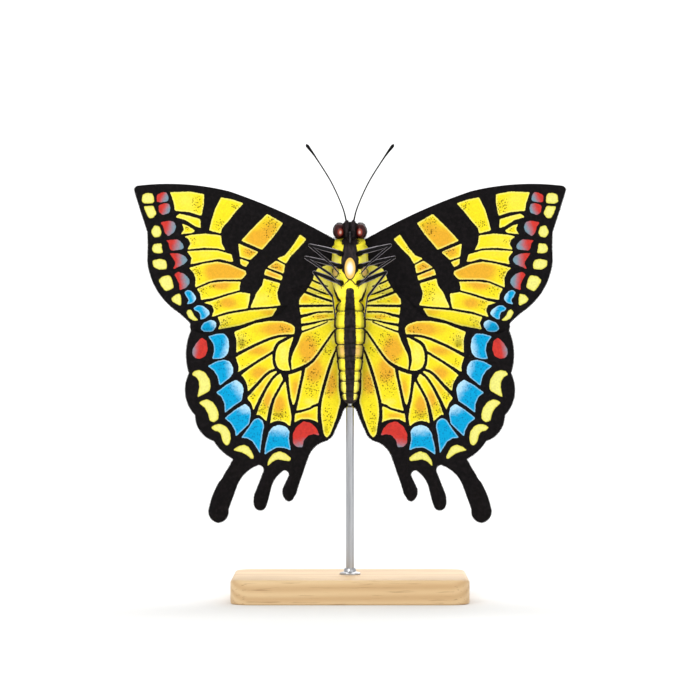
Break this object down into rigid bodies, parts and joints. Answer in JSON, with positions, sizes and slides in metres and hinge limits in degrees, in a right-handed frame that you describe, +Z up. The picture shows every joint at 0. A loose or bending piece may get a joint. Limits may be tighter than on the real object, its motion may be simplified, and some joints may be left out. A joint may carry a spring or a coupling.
{
  "type": "swallowtail butterfly",
  "caption": "Still, life-size swallowtail butterfly with spread, tailed yellow and black wings, climbing head up on a plain wooden display stand.",
  "frame": {"origin": "centre of the underside of the stand's base", "axes": "+Z up along the butterfly's body towards its head; the butterfly's underside faces -Y and its own right side is at -X"},
  "size_m": [0.108, 0.04, 0.1127],
  "materials": {
    "wing_scales": "matt wing scales, yellow with black borders, orange, red, blue and cream marks",
    "body_fur": "short dense hair, yellow sides and black middle stripe",
    "eye": "glossy faceted dark red",
    "horn": "satin black horn of legs, feelers and tongue",
    "stand_wood": "satin pale maple",
    "stand_steel": "fine brushed"
  },
  "bodies": {
    "root": {"abdomen": "body_fur", "antenna_left": "horn", "antenna_right": "horn", "eye_left": "eye", "eye_right": "eye", "forewing_left": "wing_scales", "forewing_right": "wing_scales", "head": "body_fur", "hindwing_left": "wing_scales", "hindwing_right": "wing_scales", "leg_front_left": "horn", "leg_front_right": "horn", "leg_hind_left": "horn", "leg_hind_right": "horn", "leg_middle_left": "horn", "leg_middle_right": "horn", "palp_left": "body_fur", "palp_right": "body_fur", "stand_base": "stand_wood", "stand_rod": "stand_steel", "thorax": "body_fur", "tongue": "horn"}
  },
  "joints": []
}
